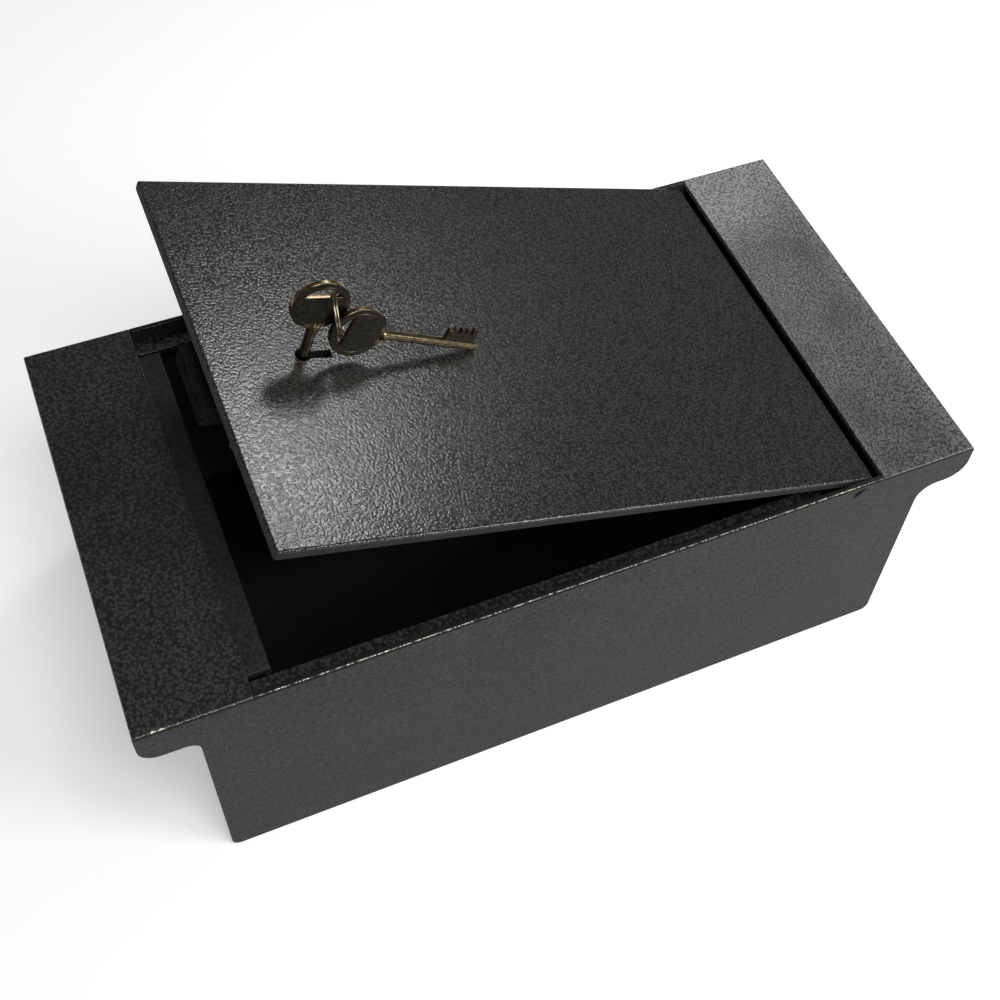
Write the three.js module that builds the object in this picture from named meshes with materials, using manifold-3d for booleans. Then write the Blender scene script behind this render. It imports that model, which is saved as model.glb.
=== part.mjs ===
// Underfloor safe: a welded steel box that hangs by its end flanges between two floor joists.
// Its hinged lid closes flush with the floorboards, a lever lock hangs under the lid,
// and two keys on a split ring are with it, one of them in the lock.
//
// Millimetres. X runs along the safe, from the lock end to the hinge end, Y from front to back, Z up.
// The origin is the middle of the underside. The lid and all that it carries are drawn closed,
// in the safe's own frame, and their group is then turned open about the hinge.

import * as THREE from 'three';
import { mergeVertices } from 'three/addons/utils/BufferGeometryUtils.js';
import Module from 'manifold-3d';

const wasm = await Module();
wasm.setup();

// Box
const safeLength = 400;
const safeWidth = 212;
const safeHeight = 135;
const sheet = 3;
const flangeReach = 24.5;
const flangeDepth = 21;
const topPlateLength = 50;
const lockEndCorner = 9;
const lockEndFillet = 6;
const hingeEndCorner = 10.5;
const hingeEndFillet = 9.5;
const baseCorner = 4.5;
const boxEdgeRound = 1.5;

// Ledges inside the opening
const ledgeSheet = 3;
const sideLedgeWidth = 9.2;
const sideLedgeDrop = 1.2;
const sideLedgeSetback = 28;
const keepLedgeReach = 10.5;
const keepLedgeEndGap = 2.2;

// Lid
const lidThickness = 4.5;
const lidLockEndGap = 0.9;
const lidHingeEndGap = 5.8;
const lidSideGap = 0.7;
const lidLedgeGap = 1.8;
const lidCorner = 1.3;
const lidEdgeRound = 1.3;
const lidOpenDegrees = 19.1;

// Hinge
const hingeInset = 11.5;
const hingeDrop = 9.5;
const hingePinDiameter = 6;
const hingePinLength = 12.5;
const hingePinClearance = 0.25;
const strapWall = 3.75;
const strapWidth = 6;
const strapInset = 4;

// Clearances
const seatGap = 0.3;
const runningGap = 0.4;

// Key
const keyShankDiameter = 4.3;
const keyReach = 61.6;
const keyTipDepth = 32.9;
const keyBowDiameter = 25;
const keyBowThickness = 2.5;
const keyBowBevel = 0.4;
const keyCollarDiameter = 5.4;
const keyCollarHeight = 2.2;
const bowHoleRadius = 9;
const bowHoleFlat = 4.7;
const bitThickness = 2.2;
const bitSetback = 3.2;
const bitLength = 15.2;
const boltStepHeight = 9;
const leverStepHeights = [5.9, 8.4, 6.1, 8.6, 5.8, 8.1];
const curtainStepHeight = 7.2;

// Keyhole, from the lid's lock end edge and from the safe's middle line
const keyholeInset = 41.5;
const keyholeOffset = -6;
const keyholeDiameter = 6.6;
const keyholeSlotWidth = 3.8;
const keyholeSlotLength = 12.4;

// Lock case, measured from the keyhole
const caseDrop = 14;
const caseHeight = 16;
const caseWall = 2;
const caseToLockEnd = 28.4;
const caseToHingeEnd = 37.6;
const caseToFront = 20;
const caseToBack = 34;
const caseCorner = 7;
const screwDiameter = 4;
const screwHeadDiameter = 7;
const screwHeadHeight = 2.6;
const screwSocket = 3;
const studDiameter = 8;
const studGrip = 6;

// Curtain, the slotted barrel that turns with the key
const curtainDiameter = 28;
const curtainBossDiameter = 24;

// Bolt
const boltDrop = 17;
const boltThickness = 10.3;
const boltWidth = 37;
const boltOffset = 7.8;
const boltThrow = 10.5;
const boltShoulder = 4.1;
const boltTapDiameter = 5.2;
const boltTapSpacing = 15.6;
const boltTapDepth = 9;
const tailThickness = 2.9;
const tailBack = 20;
const tailFront = 6.5;
const notchStart = -16;
const notchLength = 13;
const stumpDiameter = 3.6;
const stumpOffset = 15.5;

// Levers
const leverThickness = 1.3;
const leverGap = 0.3;
const leverPostDiameter = 5;
const leverPivotReach = 22;
const leverPivotOffset = 14;
const leverEyeDiameter = 9.2;
const leverTailReach = 9.8;
const leverBack = 20.5;
const leverLiftDegrees = 9.4;
const keyTurnDegrees = 305;
const gateWidth = 2.8;
const springThickness = 0.6;

// Split ring and the spare key that lies on the lid; its bow hangs nearer the more it hangs below the first
const ringWireDiameter = 0.9;
const ringPitch = 1;
const ringTurns = 1.9;
const ringInKeyAcross = 4.6;
const ringInKeyUp = 6.2;
const ringInSpareAcross = -1.2;
const ringInSpareUp = 7.3;
const spareBowSideStep = 3.5;
const spareBowHeight = 16.1;
const spareReachWhenLevel = 24.7;
const spareReachLostPerDrop = 0.5;
const spareTipGap = 0.5;
const spareRollDegrees = 4;
const spareYawDegrees = 1.3;

// Places that follow from the sizes above
const boxHalf = safeLength / 2 - flangeReach;
const topPlateTop = safeHeight;
const topPlateUnder = safeHeight - sheet;
const openingHalf = safeLength / 2 - topPlateLength;
const outerY = safeWidth / 2;
const innerY = outerY - sheet;
const lidUnder = safeHeight - lidThickness;
const lidLockEnd = -openingHalf + lidLockEndGap;
const lidHingeEnd = openingHalf - lidHingeEndGap;
const lidHalfWidth = innerY - lidSideGap;
const keepLedgeTop = lidUnder - lidLedgeGap;
const sideLedgeTop = keepLedgeTop - sideLedgeDrop;
const pivot = new THREE.Vector3(openingHalf - hingeInset, 0, safeHeight - hingeDrop);
const keyX = lidLockEnd + keyholeInset;
const keyY = keyholeOffset;
const caseTop = safeHeight - caseDrop;
const caseCeiling = caseTop - caseWall;
const caseRim = caseTop - caseHeight;
const coverTop = caseRim - seatGap;
const coverUnder = coverTop - caseWall;
const keyTip = safeHeight - keyTipDepth;
const keyBowHeight = keyReach - keyTipDepth;
const boltTop = safeHeight - boltDrop;
const boltUnder = boltTop - boltThickness;
const tailUnder = coverTop + runningGap;
const tailTop = tailUnder + tailThickness;
const leverPitch = leverThickness + leverGap;
const firstLever = tailTop + leverGap;
const bitBottom = keyTip + bitSetback;
const spareBowReach = spareReachWhenLevel - (keyBowHeight - spareBowHeight) * spareReachLostPerDrop;
const postRadius = leverPostDiameter / 2;
const leverLift = THREE.MathUtils.degToRad(leverLiftDegrees);

const arcSteps = 6;
const circleSteps = 32;

// Finishes
const finish = (color, roughness, metalness) =>
  new THREE.MeshStandardMaterial({ color, roughness, metalness, flatShading: true });
const hammerPaint = finish(0x1a1a1b, 0.42, 0.1);
const satinPaint = finish(0x2a2a2b, 0.6, 0.1);
const blackPaint = finish(0x101011, 0.7, 0);
const platedSteel = finish(0x8f9094, 0.35, 0.9);
const brass = finish(0xa58a4b, 0.35, 0.9);
const keyMetal = finish(0x8a7448, 0.32, 0.9);
const springSteel = finish(0x55585c, 0.4, 0.9);

// Solids are joined and cut as manifolds
function toManifold(geometry) {
  const bare = geometry.clone();
  bare.deleteAttribute('normal');
  bare.deleteAttribute('uv');
  const merged = mergeVertices(bare, 1e-5);
  return new wasm.Manifold(new wasm.Mesh({
    numProp: 3,
    vertProperties: new Float32Array(merged.attributes.position.array),
    triVerts: new Uint32Array(merged.index.array),
  }));
}

function toGeometry(manifold) {
  const mesh = manifold.getMesh();
  const geometry = new THREE.BufferGeometry();
  geometry.setAttribute('position', new THREE.BufferAttribute(new Float32Array(mesh.vertProperties), 3));
  geometry.setIndex(new THREE.BufferAttribute(new Uint32Array(mesh.triVerts), 1));
  geometry.computeVertexNormals();
  return geometry;
}

const combine = (first, others, way) =>
  toGeometry(others.reduce((solid, other) => solid[way](toManifold(other)), toManifold(first)));
const join = (first, ...others) => combine(first, others, 'add');
const cut = (first, ...others) => combine(first, others, 'subtract');
const common = (first, ...others) => combine(first, others, 'intersect');

// An outline's points from its corners, each [x, y, radius], with an arc where there is a radius
function rounded(corners) {
  return corners.flatMap(([x, y, radius = 0], i) => {
    const here = new THREE.Vector2(x, y);
    if (!radius) {
      return [here];
    }
    const before = corners.at(i - 1);
    const after = corners[(i + 1) % corners.length];
    const back = new THREE.Vector2(before[0] - x, before[1] - y).normalize();
    const ahead = new THREE.Vector2(after[0] - x, after[1] - y).normalize();
    const half = Math.acos(back.dot(ahead)) / 2;
    const reach = radius / Math.tan(half);
    const centre = back.clone().add(ahead).normalize().multiplyScalar(radius / Math.sin(half)).add(here);
    const from = here.clone().addScaledVector(back, reach).sub(centre);
    const to = here.clone().addScaledVector(ahead, reach).sub(centre);
    const sweep = (Math.PI - 2 * half) * Math.sign(from.cross(to));
    return Array.from({ length: arcSteps + 1 }, (_, step) =>
      from.clone().rotateAround(new THREE.Vector2(), sweep * step / arcSteps).add(centre));
  });
}

const shapeOf = (points, ...holes) => {
  const shape = new THREE.Shape(points);
  shape.holes = holes.map((hole) => new THREE.Path(hole));
  return shape;
};

const circle = (x, y, radius, steps = circleSteps) => Array.from({ length: steps }, (_, step) =>
  new THREE.Vector2(x, y).add(new THREE.Vector2(radius, 0).rotateAround(new THREE.Vector2(), 2 * Math.PI * step / steps)));

const axisX = new THREE.Vector3(1, 0, 0);
const axisY = new THREE.Vector3(0, 1, 0);
const axisZ = new THREE.Vector3(0, 0, 1);

// Prisms of a flat shape, from one place to another along an axis
function prism(shape, from, to, right, up, along) {
  const geometry = new THREE.ExtrudeGeometry(shape, { depth: to - from, bevelEnabled: false, curveSegments: circleSteps });
  geometry.translate(0, 0, from);
  geometry.applyMatrix4(new THREE.Matrix4().makeBasis(right, up, along));
  return geometry;
}
const alongZ = (shape, low, high) => prism(shape, low, high, axisX, axisY, axisZ);
const alongY = (shape, front, back) => prism(shape, -back, -front, axisX, axisZ, axisY.clone().negate());
const alongX = (shape, left, right) => prism(shape, left, right, axisY, axisZ, axisX);

function block(left, right, front, back, low, high) {
  const geometry = new THREE.BoxGeometry(right - left, back - front, high - low);
  return geometry.translate((left + right) / 2, (front + back) / 2, (low + high) / 2);
}

function piece(group, name, geometry, material) {
  const mesh = new THREE.Mesh(geometry, material);
  mesh.name = name;
  group.add(mesh);
  return mesh;
}

// The box in side view, from one flange's top down and round to the other's, drawn in from the outside by inset
function boxOutline(inset) {
  const end = safeLength / 2 - inset;
  const wall = boxHalf - inset;
  const step = safeHeight - flangeDepth + inset;
  return [
    [-end, topPlateUnder],
    [-end, step, lockEndCorner - inset],
    [-wall, step, lockEndFillet + inset],
    [-wall, inset, baseCorner - inset],
    [wall, inset, baseCorner - inset],
    [wall, step, hingeEndFillet + inset],
    [end, step, hingeEndCorner - inset],
    [end, topPlateUnder],
  ];
}

// One folded sheet makes the ends, the flanges' undersides and the bottom
function bodyShell() {
  const band = [...rounded(boxOutline(0)), ...rounded(boxOutline(sheet)).reverse()];
  return alongY(shapeOf(band), -innerY, innerY);
}

// The long sides are flat plates of the box's outline, with the outer top edge rounded
function sidePlate(side) {
  const outline = rounded([
    ...boxOutline(0),
    [openingHalf, topPlateUnder],
    [openingHalf, topPlateTop],
    [-openingHalf, topPlateTop],
    [-openingHalf, topPlateUnder],
  ]);
  const section = side < 0
    ? [[-outerY, 0], [-innerY, 0], [-innerY, topPlateTop], [-outerY, topPlateTop, boxEdgeRound]]
    : [[innerY, 0], [outerY, 0], [outerY, topPlateTop, boxEdgeRound], [innerY, topPlateTop]];
  const plate = side < 0 ? alongY(shapeOf(outline), -outerY, -innerY) : alongY(shapeOf(outline), innerY, outerY);
  return common(plate, alongX(shapeOf(rounded(section)), -safeLength / 2, safeLength / 2));
}

// The plates that close the flanges lie over the box from front to back, with rounded outer edges
function topPlate(side) {
  const across = rounded([
    [-outerY, topPlateUnder],
    [outerY, topPlateUnder],
    [outerY, topPlateTop, boxEdgeRound],
    [-outerY, topPlateTop, boxEdgeRound],
  ]);
  const end = safeLength / 2;
  const along = side < 0
    ? [[-end, topPlateUnder], [-openingHalf, topPlateUnder], [-openingHalf, topPlateTop], [-end, topPlateTop, boxEdgeRound]]
    : [[openingHalf, topPlateUnder], [end, topPlateUnder], [end, topPlateTop, boxEdgeRound], [openingHalf, topPlateTop]];
  return common(
    alongY(shapeOf(rounded(along)), -outerY, outerY),
    alongX(shapeOf(across), -end, end),
  );
}

// The ledge at the lock end is a folded strip: a web under the top plate, the ledge, and the lip that keeps the bolt
function keepLedge() {
  const ledgeUnder = keepLedgeTop - ledgeSheet;
  const lipEnd = -openingHalf + keepLedgeReach;
  const lipUnder = boltTop + runningGap;
  const section = [
    [-openingHalf - ledgeSheet, topPlateUnder],
    [-openingHalf - ledgeSheet, ledgeUnder],
    [lipEnd - ledgeSheet, ledgeUnder],
    [lipEnd - ledgeSheet, lipUnder],
    [lipEnd, lipUnder],
    [lipEnd, keepLedgeTop, 1],
    [-openingHalf, keepLedgeTop],
    [-openingHalf, topPlateUnder],
  ];
  const ledgeHalf = innerY - sideLedgeWidth - keepLedgeEndGap;
  return join(
    alongY(shapeOf(rounded(section)), -ledgeHalf, ledgeHalf),
    block(-openingHalf - ledgeSheet, -openingHalf, -innerY, innerY, ledgeUnder, topPlateUnder),
  );
}

function sideLedge(side) {
  const edges = [side * innerY, side * (innerY - sideLedgeWidth)].sort((a, b) => a - b);
  return block(-openingHalf, openingHalf - sideLedgeSetback, ...edges, sideLedgeTop - ledgeSheet, sideLedgeTop);
}

function hingePin(side) {
  const tip = innerY - hingePinLength;
  const [front, back] = side < 0 ? [-innerY, -tip] : [tip, innerY];
  return alongY(shapeOf(circle(pivot.x, pivot.z, hingePinDiameter / 2)), front, back);
}

// A keyhole's outline: a round hole with a slot that runs towards the hinge
function keyhole(radius, slotHalf, slotLength) {
  const shoulder = Math.asin(slotHalf / radius);
  const round = Array.from({ length: circleSteps + 1 }, (_, step) => {
    const angle = shoulder + (2 * Math.PI - 2 * shoulder) * step / circleSteps;
    return new THREE.Vector2(keyX + radius * Math.cos(angle), keyY + radius * Math.sin(angle));
  });
  return [
    ...round,
    new THREE.Vector2(keyX + slotLength, keyY - slotHalf),
    new THREE.Vector2(keyX + slotLength, keyY + slotHalf),
  ];
}

function lidPlate() {
  const plan = shapeOf(
    rounded([
      [lidLockEnd, -lidHalfWidth, lidCorner],
      [lidHingeEnd, -lidHalfWidth, lidCorner],
      [lidHingeEnd, lidHalfWidth, lidCorner],
      [lidLockEnd, lidHalfWidth, lidCorner],
    ]),
    keyhole(keyholeDiameter / 2, keyholeSlotWidth / 2, keyholeSlotLength),
  );
  const crowned = (low, high) => shapeOf(rounded([
    [low, lidUnder],
    [high, lidUnder],
    [high, safeHeight, lidEdgeRound],
    [low, safeHeight, lidEdgeRound],
  ]));
  return common(
    alongZ(plan, lidUnder, safeHeight),
    alongY(crowned(lidLockEnd, lidHingeEnd), -lidHalfWidth, lidHalfWidth),
    alongX(crowned(-lidHalfWidth, lidHalfWidth), lidLockEnd, lidHingeEnd),
  );
}

// A strap is bent round the pin and welded to the lid's underside by its two ends
function hingeStrap(side) {
  const inner = hingePinDiameter / 2 + hingePinClearance;
  const outer = inner + strapWall;
  const top = lidUnder - seatGap - pivot.z;
  const shape = new THREE.Shape();
  shape.moveTo(-outer, top);
  shape.absarc(0, 0, outer, Math.PI, 2 * Math.PI, false);
  shape.lineTo(outer, top);
  shape.lineTo(inner, top);
  shape.absarc(0, 0, inner, 2 * Math.PI, Math.PI, true);
  shape.lineTo(-inner, top);
  const outside = lidHalfWidth - strapInset;
  const [front, back] = side < 0 ? [-outside, -outside + strapWidth] : [outside - strapWidth, outside];
  return alongY(shape, front, back).translate(pivot.x, 0, pivot.z);
}

// Lock: places in its plan are measured from the key's axis
const plan = (u, v) => [keyX + u, keyY + v];
const planPoint = (u, v) => new THREE.Vector2(...plan(u, v));
const planBlock = (left, right, front, back, low, high) =>
  block(keyX + left, keyX + right, keyY + front, keyY + back, low, high);
const rodAt = (u, v, radius, low, high, steps = circleSteps) =>
  alongZ(shapeOf(circle(...plan(u, v), radius, steps)), low, high);

const screwPlaces = [
  [-caseToLockEnd + caseCorner / 2, -caseToFront + caseCorner / 2],
  [caseToHingeEnd - caseCorner / 2, -caseToFront + caseCorner / 2],
  [caseToHingeEnd - caseCorner / 2, caseToBack - caseCorner / 2],
  [-caseToLockEnd + caseCorner / 2, caseToBack - caseCorner / 2],
];
const screwHoleRadius = screwDiameter / 2 + seatGap;
const screwHoles = () => screwPlaces.map(([u, v]) => circle(...plan(u, v), screwHoleRadius, 16));

const caseOutline = () => rounded([
  [...plan(-caseToLockEnd, -caseToFront), 1],
  [...plan(caseToHingeEnd, -caseToFront), 1],
  [...plan(caseToHingeEnd, caseToBack), 1],
  [...plan(-caseToLockEnd, caseToBack), 1],
]);

// The case is open below, with a solid corner round each screw
function lockCase() {
  const [left, right] = [-caseToLockEnd, caseToHingeEnd];
  const [front, back] = [-caseToFront, caseToBack];
  const hollow = [
    [left + caseWall, front + caseCorner], [left + caseCorner, front + caseCorner], [left + caseCorner, front + caseWall],
    [right - caseCorner, front + caseWall], [right - caseCorner, front + caseCorner], [right - caseWall, front + caseCorner],
    [right - caseWall, back - caseCorner], [right - caseCorner, back - caseCorner], [right - caseCorner, back - caseWall],
    [left + caseCorner, back - caseWall], [left + caseCorner, back - caseCorner], [left + caseWall, back - caseCorner],
  ].map(([u, v]) => planPoint(u, v));
  const mouth = planBlock(
    left - caseWall,
    left + caseWall + 1,
    boltOffset - boltWidth / 2 - runningGap,
    boltOffset + boltWidth / 2 + runningGap,
    boltUnder - runningGap,
    boltTop + runningGap,
  );
  return cut(
    alongZ(shapeOf(caseOutline(), ...screwHoles()), caseRim, caseTop),
    alongZ(shapeOf(hollow), caseRim - 1, caseCeiling),
    rodAt(0, 0, curtainBossDiameter / 2 + seatGap, caseCeiling - 1, caseTop + 1),
    mouth,
  );
}

// The cover closes the case from below and guides the key's tip
function lockCover() {
  const tipHole = circle(...plan(0, 0), keyShankDiameter / 2 + seatGap);
  return alongZ(shapeOf(caseOutline(), ...screwHoles(), tipHole), coverUnder, coverTop);
}

// Tapped studs are welded to the lid's underside and hold the case away from it
function lockStud([u, v]) {
  const shape = shapeOf(circle(...plan(u, v), studDiameter / 2, 24), circle(...plan(u, v), screwHoleRadius, 16));
  return alongZ(shape, caseTop + seatGap, lidUnder - seatGap);
}

function lockScrew([u, v]) {
  const headTop = coverUnder - seatGap;
  const headUnder = headTop - screwHeadHeight;
  const end = caseTop + seatGap + studGrip;
  const radius = screwDiameter / 2;
  const headRadius = screwHeadDiameter / 2;
  const profile = [
    [0, headUnder], [headRadius - 0.4, headUnder], [headRadius, headUnder + 0.4], [headRadius, headTop],
    [radius, headTop], [radius, end - 0.5], [radius - 0.5, end], [0, end],
  ].map(([r, z]) => new THREE.Vector2(r, z));
  const turned = new THREE.LatheGeometry(profile, 20);
  turned.rotateX(Math.PI / 2);
  turned.translate(...plan(u, v), 0);
  const socket = rodAt(u, v, screwSocket / Math.sqrt(3), headUnder - 1, headUnder + screwHeadHeight / 2, 6);
  return cut(turned, socket);
}

// The curtain rides on the case between it and the lid, and its boss turns in the case's hole
function curtain() {
  const bit = [...leverStepHeights, boltStepHeight].reduce((a, b) => Math.max(a, b));
  const slot = () => keyhole(keyShankDiameter / 2 + seatGap, bitThickness / 2 + seatGap, bit + 2 * seatGap);
  const disc = (diameter, low, high) => alongZ(shapeOf(circle(...plan(0, 0), diameter / 2, 40), slot()), low, high);
  return join(
    disc(curtainDiameter, caseTop + seatGap, lidUnder - seatGap),
    disc(curtainBossDiameter, caseCeiling + seatGap, caseTop + 1),
  );
}

// Where the bolt's stump stands in a lever's own frame, when the key has done this share of its turn
function stumpInLever(share) {
  const place = new THREE.Vector2(boltThrow * share, stumpOffset);
  return place.rotateAround(new THREE.Vector2(leverPivotReach, leverPivotOffset), leverLift * share);
}

// The bolt: a nose with two tapped holes in its end, a shoulder that stops it in the case,
// and a tail with a notch for the key, a fork round the levers' post and a stump for their gates
function bolt() {
  const [front, back] = [boltOffset - boltWidth / 2, boltOffset + boltWidth / 2];
  const shoulderLeft = -caseToLockEnd + caseWall + seatGap;
  const shoulderRight = shoulderLeft + boltShoulder;
  const noseEnd = lidLockEnd - keyX + seatGap;
  const forkEnd = leverPivotReach + postRadius;
  const forkRadius = postRadius + seatGap;
  const forkRoot = leverPivotReach - boltThrow;
  const notchEnd = notchStart + notchLength;
  const notchTop = boltStepHeight + bitThickness / 4;
  const tail = [
    [shoulderRight - 1, tailFront], [notchStart, tailFront], [notchStart, notchTop, 1], [notchEnd, notchTop, 1],
    [notchEnd, tailFront], [forkEnd, tailFront], [forkEnd, leverPivotOffset - forkRadius],
    [forkRoot - forkRadius, leverPivotOffset - forkRadius, 1], [forkRoot - forkRadius, leverPivotOffset + forkRadius, 1],
    [forkEnd, leverPivotOffset + forkRadius], [forkEnd, tailBack], [shoulderRight - 1, tailBack],
  ].map(([u, v, radius]) => [...plan(u, v), radius]);
  const tap = (offset) => alongX(
    shapeOf(circle(keyY + boltOffset + offset, (boltTop + boltUnder) / 2, boltTapDiameter / 2, 20)),
    keyX + noseEnd - 1,
    keyX + noseEnd + boltTapDepth,
  );
  return cut(
    join(
      planBlock(noseEnd, shoulderRight, front, back, boltUnder, boltTop),
      planBlock(shoulderLeft, shoulderRight, front, back, tailUnder, boltTop),
      alongZ(shapeOf(rounded(tail)), tailUnder, tailTop),
      rodAt(0, stumpOffset, stumpDiameter / 2, tailUnder + 1, firstLever + leverStepHeights.length * leverPitch),
    ),
    tap(-boltTapSpacing / 2),
    tap(boltTapSpacing / 2),
  );
}

// A lever's belly sits just clear of the key's step, and its two pockets are joined by the gate
function lever(index) {
  const lifted = leverPivotReach * Math.sin(leverLift);
  const belly = leverStepHeights[index] + seatGap - lifted * 270 / keyTurnDegrees;
  const eye = leverEyeDiameter / 2;
  const stump = stumpDiameter / 2 + seatGap;
  const last = stumpInLever(1);
  const raised = new THREE.Vector2(0, stumpOffset)
    .rotateAround(new THREE.Vector2(leverPivotReach, leverPivotOffset), leverLift);
  const gateLeft = (last.x - gateWidth) / 2;
  const gateRight = gateLeft + gateWidth;
  const gateTop = stumpInLever((gateLeft - stump) / boltThrow).y + stump;
  const gateUnder = stumpInLever((gateRight + stump) / boltThrow).y - stump;
  const pocketTop = stumpOffset + stump;
  const pocketUnder = raised.y - stump;
  const opening = [
    [-stump, pocketUnder], [gateLeft, pocketUnder], [gateLeft, gateUnder], [gateRight, gateUnder],
    [gateRight, pocketUnder], [last.x + stump, pocketUnder], [last.x + stump, pocketTop], [gateRight, pocketTop],
    [gateRight, gateTop], [gateLeft, gateTop], [gateLeft, pocketTop], [-stump, pocketTop],
  ].map(([u, v]) => planPoint(u, v));
  const outline = [
    [-leverTailReach, belly, 1.5], [boltStepHeight, belly, 3], [leverPivotReach - eye, leverPivotOffset - eye, 2],
    [leverPivotReach + eye, leverPivotOffset - eye, eye * 0.9], [leverPivotReach + eye, leverPivotOffset + eye, eye * 0.9],
    [leverPivotReach - eye, leverBack, 2], [-leverTailReach, leverBack, 1.5],
  ].map(([u, v, radius]) => [...plan(u, v), radius]);
  const bore = circle(...plan(leverPivotReach, leverPivotOffset), postRadius + seatGap, 24);
  const low = firstLever + index * leverPitch;
  return alongZ(shapeOf(rounded(outline), bore, opening), low, low + leverThickness);
}

// A flat spring rises from each lever's back; its free end meets the case's wall as the lever lifts
function leverSpring(index) {
  const root = new THREE.Vector2(leverPivotReach - leverEyeDiameter / 2 - 2, leverBack + seatGap);
  const tipReach = -leverTailReach / 2;
  const tipRise = (leverPivotReach - tipReach) * Math.sin(leverLift);
  const wall = caseToBack - caseWall - 2 * seatGap;
  const tip = new THREE.Vector2(tipReach, wall - springThickness - tipRise);
  const bend = new THREE.Vector2(tip.x + (root.x - tip.x) * 0.45, root.y);
  const curve = new THREE.QuadraticBezierCurve(root, bend, tip);
  const under = curve.getPoints(8);
  const over = under.map((point) => point.clone().add(new THREE.Vector2(0, springThickness))).reverse();
  const low = firstLever + index * leverPitch + leverGap / 2;
  const outline = [...under, ...over].map((point) => planPoint(point.x, point.y));
  return alongZ(shapeOf(outline), low, low + leverThickness - leverGap);
}

function leverPost() {
  return rodAt(leverPivotReach, leverPivotOffset, postRadius, coverTop + seatGap, caseCeiling - seatGap);
}

// A key stands on its tip: shank along Z, bit towards +X, bow in the plane of X and Z
function keyGeometry() {
  const radius = keyShankDiameter / 2;
  const bowRadius = keyBowDiameter / 2;
  const bowUnder = keyReach - bowRadius;
  const profile = [
    [0, 0], [radius - 0.4, 0], [radius, 0.4], [radius, bowUnder - keyCollarHeight / 2],
    [keyCollarDiameter / 2, bowUnder - keyCollarHeight / 2 + 0.3], [keyCollarDiameter / 2, bowUnder + keyCollarHeight / 2],
    [0, bowUnder + keyCollarHeight / 2],
  ].map(([r, z]) => new THREE.Vector2(r, z));
  const shank = new THREE.LatheGeometry(profile, 24);
  shank.rotateX(Math.PI / 2);
  const holeStart = Math.asin(bowHoleFlat / bowHoleRadius);
  const ringHole = Array.from({ length: 17 }, (_, step) => {
    const angle = holeStart + (Math.PI - 2 * holeStart) * step / 16;
    return new THREE.Vector2(bowHoleRadius * Math.cos(angle), keyReach + bowHoleRadius * Math.sin(angle));
  });
  const bowShape = shapeOf(circle(0, keyReach, bowRadius - keyBowBevel, 48), ringHole);
  const bow = new THREE.ExtrudeGeometry(bowShape, {
    depth: keyBowThickness - 2 * keyBowBevel,
    bevelThickness: keyBowBevel,
    bevelSize: keyBowBevel,
    bevelSegments: 2,
  });
  bow.translate(0, 0, -keyBowThickness / 2 + keyBowBevel);
  bow.applyMatrix4(new THREE.Matrix4().makeBasis(axisX, axisZ, axisY.clone().negate()));
  return join(shank, bow, keyBit());
}

// The bit's steps follow the bolt's tail, then the levers and last the curtain, from the tip up
function keyBit() {
  const heights = [boltStepHeight, ...leverStepHeights, curtainStepHeight];
  const firstStep = firstLever - leverGap / 2;
  const levels = [bitBottom, ...leverStepHeights.map((_, index) => firstStep + index * leverPitch)];
  levels.push(firstStep + leverStepHeights.length * leverPitch, bitBottom + bitLength);
  const outline = [[keyShankDiameter / 4, bitBottom]];
  heights.forEach((height, index) => outline.push([height, levels[index]], [height, levels[index + 1]]));
  outline.push([keyShankDiameter / 4, bitBottom + bitLength]);
  const points = outline.map(([reach, z]) => new THREE.Vector2(reach, z - keyTip));
  return alongY(shapeOf(points), -bitThickness / 2, bitThickness / 2);
}

// A split ring is flat wire wound twice
class SplitRingCurve extends THREE.Curve {
  constructor(radius) {
    super();
    this.radius = radius;
  }

  getPoint(t, target = new THREE.Vector3()) {
    const angle = Math.PI / 2 + 2 * Math.PI * ringTurns * t;
    const lift = ringPitch * ringTurns * (t - 0.5);
    return target.set(this.radius * Math.cos(angle), this.radius * Math.sin(angle), lift);
  }
}

function splitRing(from, to) {
  const across = to.clone().sub(from);
  const section = shapeOf(circle(0, 0, ringWireDiameter / 2, 8));
  const geometry = new THREE.ExtrudeGeometry(section, {
    steps: 64,
    bevelEnabled: false,
    extrudePath: new SplitRingCurve(across.length() / 2),
  });
  const right = across.clone().normalize();
  const normal = right.clone().cross(axisY).normalize();
  geometry.applyMatrix4(new THREE.Matrix4().makeBasis(right, normal.clone().cross(right), normal));
  return geometry.translate(...from.clone().add(to).multiplyScalar(0.5));
}

// The spare key leans with its tip down on the lid and hangs by its bow from the ring
const spareBow = new THREE.Vector3(keyX + spareBowReach, keyY - spareBowSideStep, safeHeight + spareBowHeight);
const spareLean = Math.asin((spareBowHeight - spareTipGap - keyShankDiameter / 2) / keyReach);
const spareTurn = new THREE.Euler(
  -THREE.MathUtils.degToRad(spareRollDegrees),
  spareLean,
  THREE.MathUtils.degToRad(spareYawDegrees),
  'ZYX',
);

function spareKey() {
  const geometry = keyGeometry().translate(0, 0, -keyReach);
  geometry.applyMatrix4(new THREE.Matrix4().makeBasis(axisZ, axisY, axisX.clone().negate()));
  geometry.applyMatrix4(new THREE.Matrix4().makeRotationFromEuler(spareTurn));
  return geometry.translate(...spareBow);
}

// The ring's two places in the bows' holes
const ringInKey = new THREE.Vector3(keyX + ringInKeyAcross, keyY, safeHeight + keyBowHeight + ringInKeyUp);
const ringInSpare = new THREE.Vector3(-ringInSpareUp, 0, ringInSpareAcross).applyEuler(spareTurn).add(spareBow);

// Assembly
const safe = new THREE.Group();

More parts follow.
